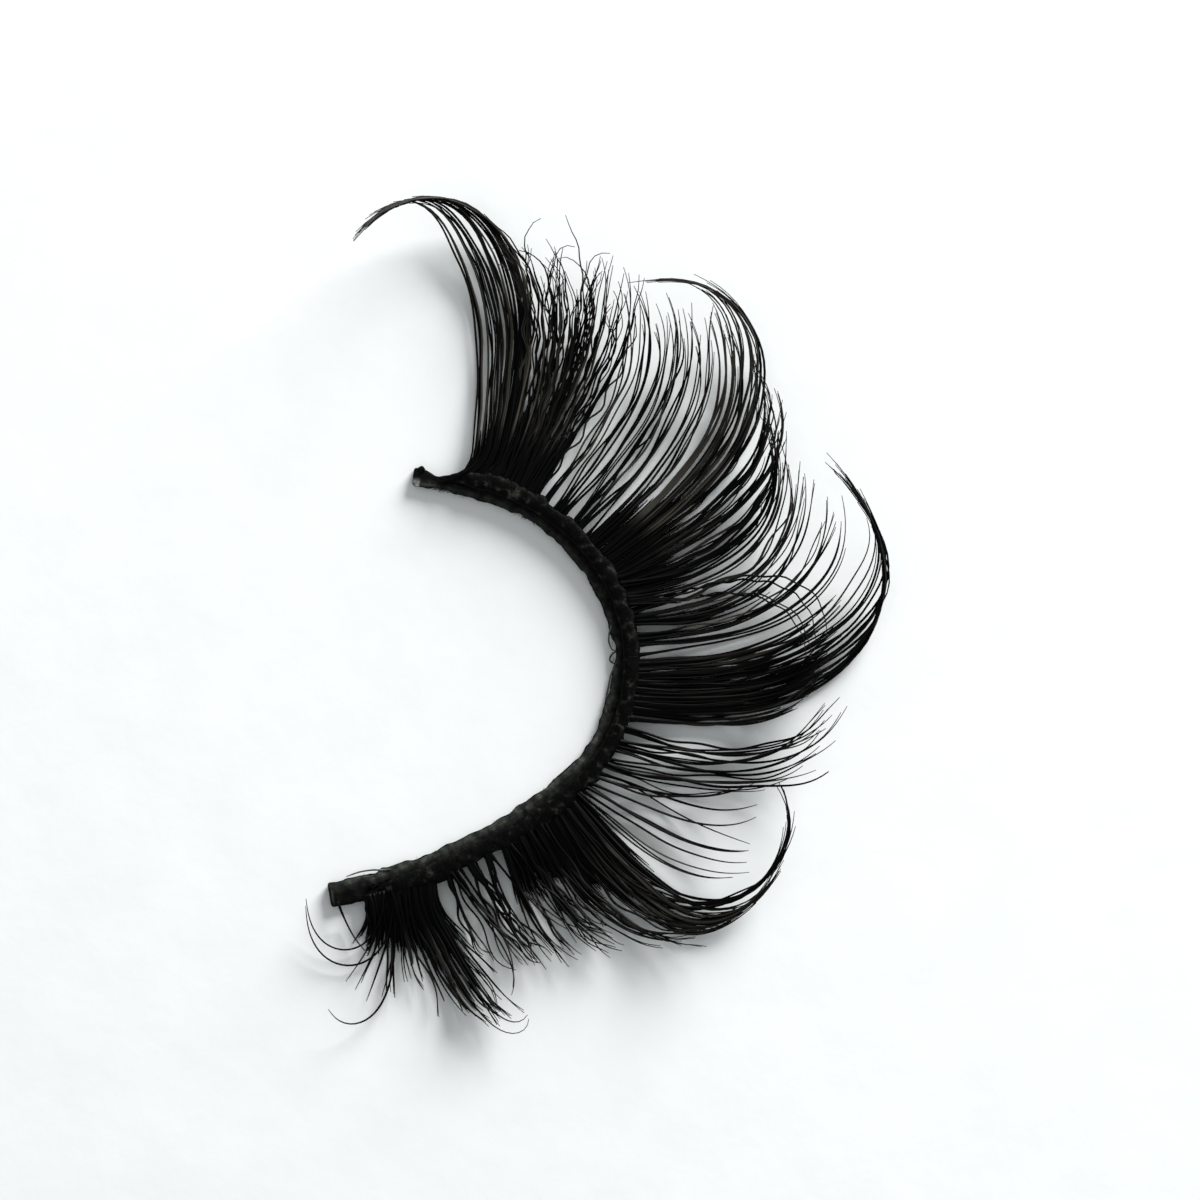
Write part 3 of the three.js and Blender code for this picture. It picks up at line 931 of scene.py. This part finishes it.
def make_hair(name, seed, material):
    """The hairs of a tuft, dark at their roots, in place of its solid."""
    rng = np.random.default_rng(seed)
    lines, tones, thickness = tuft_hairs(name, rng)
    radii = hair_radii(lines, thickness, rng)
    lines[:, :, 2] = np.maximum(lines[:, :, 2], radii + FLOOR_CLEARANCE)
    rings = tube_rings(lines, radii, HAIR_SIDES)
    # Paler tones, partly painted highlights, are kept off the dark roots.
    tones = np.repeat(tones[:, None] * smooth(*DARK_ROOT_RUN, past_row_edge(lines)), HAIR_SIDES)
    faces = ring_faces(len(lines), HAIR_STEPS + 1, HAIR_SIDES)
    piece = make_piece(name + "_hair", rings.reshape(-1, 3), faces, tones, material)
    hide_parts(name)


def make_roots(name, seed, material):
    """The lumpy row of knots and glue that a tuft grows out of."""
    start = TUFTS[name]["stretch"][0] - ROW_OVERLAP
    end = TUFTS[name]["stretch"][1] + ROW_OVERLAP
    count = int((end - start) / ROW_STEP)
    along = np.linspace(start, end, count)[:, None]
    around = (np.arange(ROW_SIDES) / ROW_SIDES)[None, :]
    angles = 2.0 * math.pi * around
    rough = np.random.default_rng(seed).normal(0.0, ROW_ROUGHNESS, (count, ROW_SIDES))
    swell = 1.0 + KNOT_RELIEF * lumps(along, SEED, KNOT_PITCH, around, KNOT_COLUMNS) + rough
    web = 1.0 + WEB_RELIEF * lumps(along, SEED + 2, WEB_PITCH) * np.clip(np.cos(angles), 0.0, 1.0)
    across, upward = rounded_square(angles, ROW_SQUARENESS)
    outward = ROW_HALF_WIDTH * swell * web * across
    row_start = min(tuft["stretch"][0] for tuft in TUFTS.values()) - ROW_OVERLAP
    row_end = max(tuft["stretch"][1] for tuft in TUFTS.values()) + ROW_OVERLAP
    to_end = np.minimum(along - row_start, row_end - along)
    fading = ROW_END_SHARE + (1.0 - ROW_END_SHARE) * smooth(0.0, ROW_END_RUN, to_end)
    outward = ROW_OFFSET - drawn_in(along) + outward * fading
    height = ROW_CENTRE + ROW_HALF_HEIGHT * (swell * fading * upward + fading - 1.0)
    points = beside_band(np.repeat(along, ROW_SIDES), outward.ravel(), height.ravel())
    faces = ring_faces(1, count, ROW_SIDES)
    make_piece(name + "_roots", points, faces, np.zeros(len(points)), material)


def make_band(material):
    """The cotton tape: lumpy, with a wandering inner edge, a neck by its outer end and square-cut ends."""
    along = np.linspace(0.0, BAND_LENGTH, BAND_STEPS)[:, None]
    around = (np.arange(BAND_SIDES) / BAND_SIDES)[None, :]
    across, upward = rounded_square(2.0 * math.pi * around, BAND_SQUARENESS)
    inner_side = np.clip(-across, 0.0, 1.0)
    outer_side = np.clip(across, 0.0, 1.0)
    to_end = np.minimum(along, BAND_LENGTH - along)
    closing = np.sqrt(np.clip(1.0 - (1.0 - np.minimum(to_end / END_ROUND, 1.0)) ** 2, 0.0, 1.0))
    closing = END_SHARE + (1.0 - END_SHARE) * closing
    lump = BAND_LUMP_RELIEF * lumps(along, SEED, BAND_LUMP_PITCH, around, BAND_LUMP_COLUMNS)
    edge = EDGE_RELIEF * lumps(along, SEED + 1, EDGE_PITCH)
    edge = edge - NOTCH_DEPTH * hump(along, NOTCH_PLACE, NOTCH_LENGTH)
    half_width = band_width(along) / 2.0
    outward = across * (half_width * closing + lump) - inner_side * edge - outer_side * drawn_in(along)
    height = BAND_THICKNESS / 2.0 * (1.0 + upward * closing) + np.clip(upward, 0.0, 1.0) * lump
    points = beside_band(np.repeat(along.ravel(), BAND_SIDES), outward.ravel(), height.ravel())

    # Painted light and shade: the strip over the top near the inner edge is made lighter as if lit, and the
    # very edge is made darker as painted shade.
    strip = smooth(*STRIP_RISE, inner_side) * (1.0 - smooth(*STRIP_SHADED_EDGE, inner_side))
    streak = lumps(along, SEED + 3, STREAK_PITCH, around, STREAK_COLUMNS)
    streak = 1.0 - STREAK_DEPTH + STREAK_DEPTH * streak
    tones = np.interp(along, STRIP_PLACES, STRIP_CLOTH_AND_LIGHT_TONES) * strip * streak
    tones = np.maximum(tones, CUT_LINE_TONE * hump(along, CUT_LINE_PLACE, CUT_LINE_WIDTH))
    bare_start = BAND_LENGTH - BARE_END_LENGTH
    bare = smooth(bare_start, bare_start + BARE_END_BLEND, along) * smooth(*BARE_END_RISE, inner_side)
    tones = np.maximum(tones, bare)
    piece = make_piece(
        "band_tape", points, ring_faces(1, BAND_STEPS, BAND_SIDES), tones.ravel(), material
    )
    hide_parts("band")


def make_tubes(name, lines, radii, sides, tone, material):
    """One piece of tubes of equal point counts and an even tone."""
    rings = tube_rings(lines, radii, sides).reshape(-1, 3)
    faces = ring_faces(len(lines), lines.shape[1], sides)
    make_piece(name, rings, faces, np.full(len(rings), tone), material)


def smooth_path(points, count):
    """A smooth line through points, by Catmull-Rom pieces."""
    points = np.array(points, dtype=float)
    points = np.concatenate([2.0 * points[:1] - points[1:2], points, 2.0 * points[-1:] - points[-2:-1]])
    place = np.linspace(0.0, len(points) - 3 - PATH_END_GAP, count)
    first = place.astype(int)
    share = (place - first)[:, None]
    before, start, end, after = (points[first + step] for step in range(4))
    curve = (end - before) * share + (2.0 * before - 5.0 * start + 4.0 * end - after) * share ** 2
    curve = curve + (3.0 * start - before - 3.0 * end + after) * share ** 3
    return start + curve / 2.0


def make_threads(material):
    """Loose threads along the band's inner edge."""
    paths = [smooth_path(points, THREAD_STEPS) for points in LOOSE_THREADS]
    lines = np.array([beside_band(path[:, 0], path[:, 1], path[:, 2]) for path in paths])
    share = np.linspace(0.0, 1.0, THREAD_STEPS)
    radii = np.tile(THREAD_RADIUS * (1.0 - THREAD_TAPER * share ** THREAD_TAPER_POWER), (len(lines), 1))
    make_tubes("loose_threads", lines, radii, THREAD_SIDES, THREAD_TONE, material)


def make_end_knot(material):
    """The knot on the corner of the band's outer end: a few climbing turns of thread."""
    share = np.linspace(0.0, 1.0, THREAD_STEPS)
    turn = 2.0 * math.pi * END_KNOT_TURNS * share
    length = END_KNOT_RADIUS * np.cos(turn) * (END_KNOT_FIRST_TURN + (1.0 - END_KNOT_FIRST_TURN) * share)
    width = END_KNOT_RADIUS * np.sin(turn) * (1.0 - END_KNOT_NARROWING * share)
    climb = END_KNOT_RADIUS * (share - 0.5)
    height = END_KNOT[2] + climb + END_KNOT_WAVE * np.sin(END_KNOT_WAVES * turn)
    lines = beside_band(END_KNOT[0] + length, END_KNOT[1] + width, height)[None]
    radii = np.full((1, THREAD_STEPS), END_KNOT_THREAD)
    make_tubes("end_knot", lines, radii, THREAD_SIDES, END_KNOT_TONE, material)


def make_fuzz(material):
    """Short cotton fibres along the band's inner edge."""
    rng = np.random.default_rng(SEED)
    one_each = (FUZZ_COUNT, 1)
    near_end = rng.random(one_each) < FUZZ_SHARE
    near_root = rng.uniform(*FUZZ_STRETCH, one_each)
    wide_root = rng.uniform(*FUZZ_WIDE_STRETCH, one_each)
    root = np.where(near_end, near_root, wide_root)
    length = rng.uniform(*FUZZ_LENGTH, one_each)
    lean = np.radians(rng.choice(FUZZ_LEANS, one_each) + rng.normal(0.0, FUZZ_LEAN_SPREAD, one_each))
    curl = np.radians(rng.uniform(-FUZZ_CURL, FUZZ_CURL, one_each))
    start = rng.uniform(*FUZZ_ROOT_HEIGHTS, one_each)
    end = rng.uniform(*FUZZ_TIP_HEIGHTS, one_each)
    share = np.linspace(0.0, 1.0, FUZZ_STEPS)[None, :]
    along = root + length * share * np.cos(lean + curl * share)
    edge = band_width(root) / 2.0 - FUZZ_ROOT_DEPTH
    outward = -edge - length * share * np.sin(lean + curl * share)
    height = start + (end - start) * share
    lines = beside_band(along, outward, height)
    radii = np.tile(FUZZ_RADIUS * (1.0 - FUZZ_TAPER * share), one_each)
    make_tubes("band_fuzz", lines, radii, FUZZ_SIDES, FUZZ_TONE, material)


def make_whipping(material):
    """Two threads that twist round each other along the root row."""
    count = int((WHIP_STRETCH[1] - WHIP_STRETCH[0]) / WHIP_STEP)
    along = np.linspace(*WHIP_STRETCH, count)
    lines = []
    for phase in (0.0, math.pi):
        turn = 2.0 * math.pi * along / WHIP_PITCH + phase + lumps(along, SEED + 3, WHIP_WANDER_PITCH)
        outward = WHIP_OFFSET + WHIP_SWING * np.cos(turn)
        height = WHIP_HEIGHT + WHIP_FLATNESS * WHIP_SWING * np.sin(turn)
        lines.append(beside_band(along, outward, height))
    lines = np.array(lines)
    radii = np.full(lines.shape[:2], WHIP_RADIUS)
    make_tubes("root_whipping", lines, radii, WHIP_SIDES, WHIP_TONE, material)


def new_material(name):
    """A material of nodes, its tree and its shader."""
    material = bpy.data.materials.new(name)
    material.use_nodes = True
    return material, material.node_tree, material.node_tree.nodes["Principled BSDF"]


def attribute(tree, name):
    """A socket with a value that the points of a mesh carry."""
    node = tree.nodes.new("ShaderNodeAttribute")
    node.attribute_name = name
    return node.outputs["Fac"]


def ramp(tree, source, stops):
    """A colour ramp fed by a socket, with stops of (place, (r, g, b))."""
    node = tree.nodes.new("ShaderNodeValToRGB")
    elements = node.color_ramp.elements
    while len(elements) < len(stops):
        elements.new(0.5)
    for element, (place, colour) in zip(elements, stops):
        element.position = place
        element.color = (*colour, 1.0)
    tree.links.new(source, node.inputs["Fac"])
    return node.outputs["Color"]


def noise(tree, scale, detail):
    """A socket of noise that stays fixed to the object."""
    coordinates = tree.nodes.new("ShaderNodeTexCoord")
    node = tree.nodes.new("ShaderNodeTexNoise")
    node.inputs["Scale"].default_value = scale
    node.inputs["Detail"].default_value = detail
    tree.links.new(coordinates.outputs["Object"], node.inputs["Vector"])
    return node.outputs["Fac"]


def spread(tree, source, low, high):
    """Maps a socket's 0 to 1 onto low to high."""
    node = tree.nodes.new("ShaderNodeMapRange")
    node.inputs["To Min"].default_value = low
    node.inputs["To Max"].default_value = high
    tree.links.new(source, node.inputs["Value"])
    return node.outputs["Result"]


def bump(tree, shader, source, strength, distance):
    """Bump on a shader, from a socket of heights."""
    node = tree.nodes.new("ShaderNodeBump")
    node.inputs["Strength"].default_value = strength
    node.inputs["Distance"].default_value = distance
    tree.links.new(source, node.inputs["Height"])
    tree.links.new(node.outputs["Normal"], shader.inputs["Normal"])


def set_surface(tree, shader, grain, roughness, relief, specular):
    """Roughness and bump from a socket of noise, and an even specular level."""
    tree.links.new(spread(tree, grain, *roughness), shader.inputs["Roughness"])
    bump(tree, shader, grain, *relief)
    shader.inputs["Specular IOR Level"].default_value = specular


def hair_material():
    """Near-black fibre, paler where its tone is higher: partly brownish tints of single hairs, partly
    painted highlights of lit hairs.
    """
    material, tree, shader = new_material("lash_hair_fibre")
    colour = ramp(tree, attribute(tree, "tone"), HAIR_TINT_AND_HIGHLIGHT_COLOURS)
    tree.links.new(colour, shader.inputs["Base Color"])
    set_surface(tree, shader, noise(tree, *HAIR_GRAIN), HAIR_ROUGHNESS, HAIR_BUMP, HAIR_SPECULAR)
    return material


def root_material():
    """Black glue with paler flecks: partly brownish-grey bits of glue and hair, partly painted glints."""
    material, tree, shader = new_material("root_glue")
    colour = ramp(tree, noise(tree, *GLUE_MOTTLE), GLUE_FLECK_AND_GLINT_COLOURS)
    tree.links.new(colour, shader.inputs["Base Color"])
    set_surface(tree, shader, noise(tree, *GLUE_GRAIN), GLUE_ROUGHNESS, GLUE_BUMP, GLUE_SPECULAR)
    return material


def cotton_material():
    """Matte black cotton, mottled, and paler where its tone is higher; on the band's inner strip that tone
    holds painted light on the top and painted shade at the edge.
    """
    material, tree, shader = new_material("band_cotton_tape")
    cloth = ramp(tree, attribute(tree, "tone"), COTTON_COLOURS)
    mottle = ramp(tree, noise(tree, *COTTON_MOTTLE), COTTON_MOTTLE_COLOURS)
    mixed = tree.nodes.new("ShaderNodeMix")
    mixed.data_type = "RGBA"
    mixed.blend_type = "MULTIPLY"
    mixed.inputs["Factor"].default_value = 1.0
    tree.links.new(cloth, mixed.inputs["A"])
    tree.links.new(mottle, mixed.inputs["B"])
    tree.links.new(mixed.outputs["Result"], shader.inputs["Base Color"])
    set_surface(tree, shader, noise(tree, *COTTON_GRAIN), COTTON_ROUGHNESS, COTTON_BUMP, COTTON_SPECULAR)
    return material


def paper_material():
    """White paper with a faint grain."""
    material, tree, shader = new_material("paper")
    grain = noise(tree, *PAPER_GRAIN)
    tree.links.new(ramp(tree, grain, PAPER_COLOURS), shader.inputs["Base Color"])
    set_surface(tree, shader, grain, PAPER_ROUGHNESS, PAPER_BUMP, PAPER_SPECULAR)
    return material


def make_floor():
    """The paper that the strip lies on."""
    bpy.ops.mesh.primitive_plane_add(size=PAPER_SIZE, location=(0.0, 0.0, 0.0))
    floor = bpy.context.object
    floor.name = "paper_floor"
    floor.data.materials.append(paper_material())


def make_lights():
    """An even sky, and a window that faces the strip."""
    world = bpy.data.worlds.new("studio")
    bpy.context.scene.world = world
    world.use_nodes = True
    background = world.node_tree.nodes["Background"]
    background.inputs["Color"].default_value = SKY_COLOUR
    background.inputs["Strength"].default_value = SKY_STRENGTH
    lamp = bpy.data.lights.new("window", "AREA")
    lamp.shape = "DISK"
    lamp.size = WINDOW_SIZE
    lamp.energy = WINDOW_ENERGY
    window = bpy.data.objects.new("window", lamp)
    window.location = WINDOW_PLACE
    window.rotation_euler = (-window.location).to_track_quat("-Z", "Y").to_euler()
    bpy.context.collection.objects.link(window)


def make_camera():
    """A camera above the strip that looks straight down, as in the photo."""
    data = bpy.data.cameras.new("camera")
    data.sensor_width = SENSOR
    data.lens = SENSOR * VIEW_DISTANCE / VIEW_WIDTH
    data.clip_start = CLIP_NEAR
    data.clip_end = CLIP_FAR
    camera = bpy.data.objects.new("camera", data)
    camera.location = (
        (VIEW_CENTRE[0] + SHIFT[0]) * MM,
        (VIEW_CENTRE[1] + SHIFT[1]) * MM,
        VIEW_DISTANCE * MM,
    )
    bpy.context.collection.objects.link(camera)
    bpy.context.scene.camera = camera


def make_strip():
    """All the pieces of the strip."""
    hair = hair_material()
    glue = root_material()
    cotton = cotton_material()
    make_band(cotton)
    make_whipping(cotton)
    make_threads(cotton)
    make_end_knot(cotton)
    make_fuzz(cotton)
    for index, name in enumerate(TUFTS):
        make_roots(name, SEED + index, glue)
        make_hair(name, SEED + index, hair)


make_strip()
make_floor()
make_lights()
make_camera()
bpy.context.scene.view_settings.view_transform = "Standard"
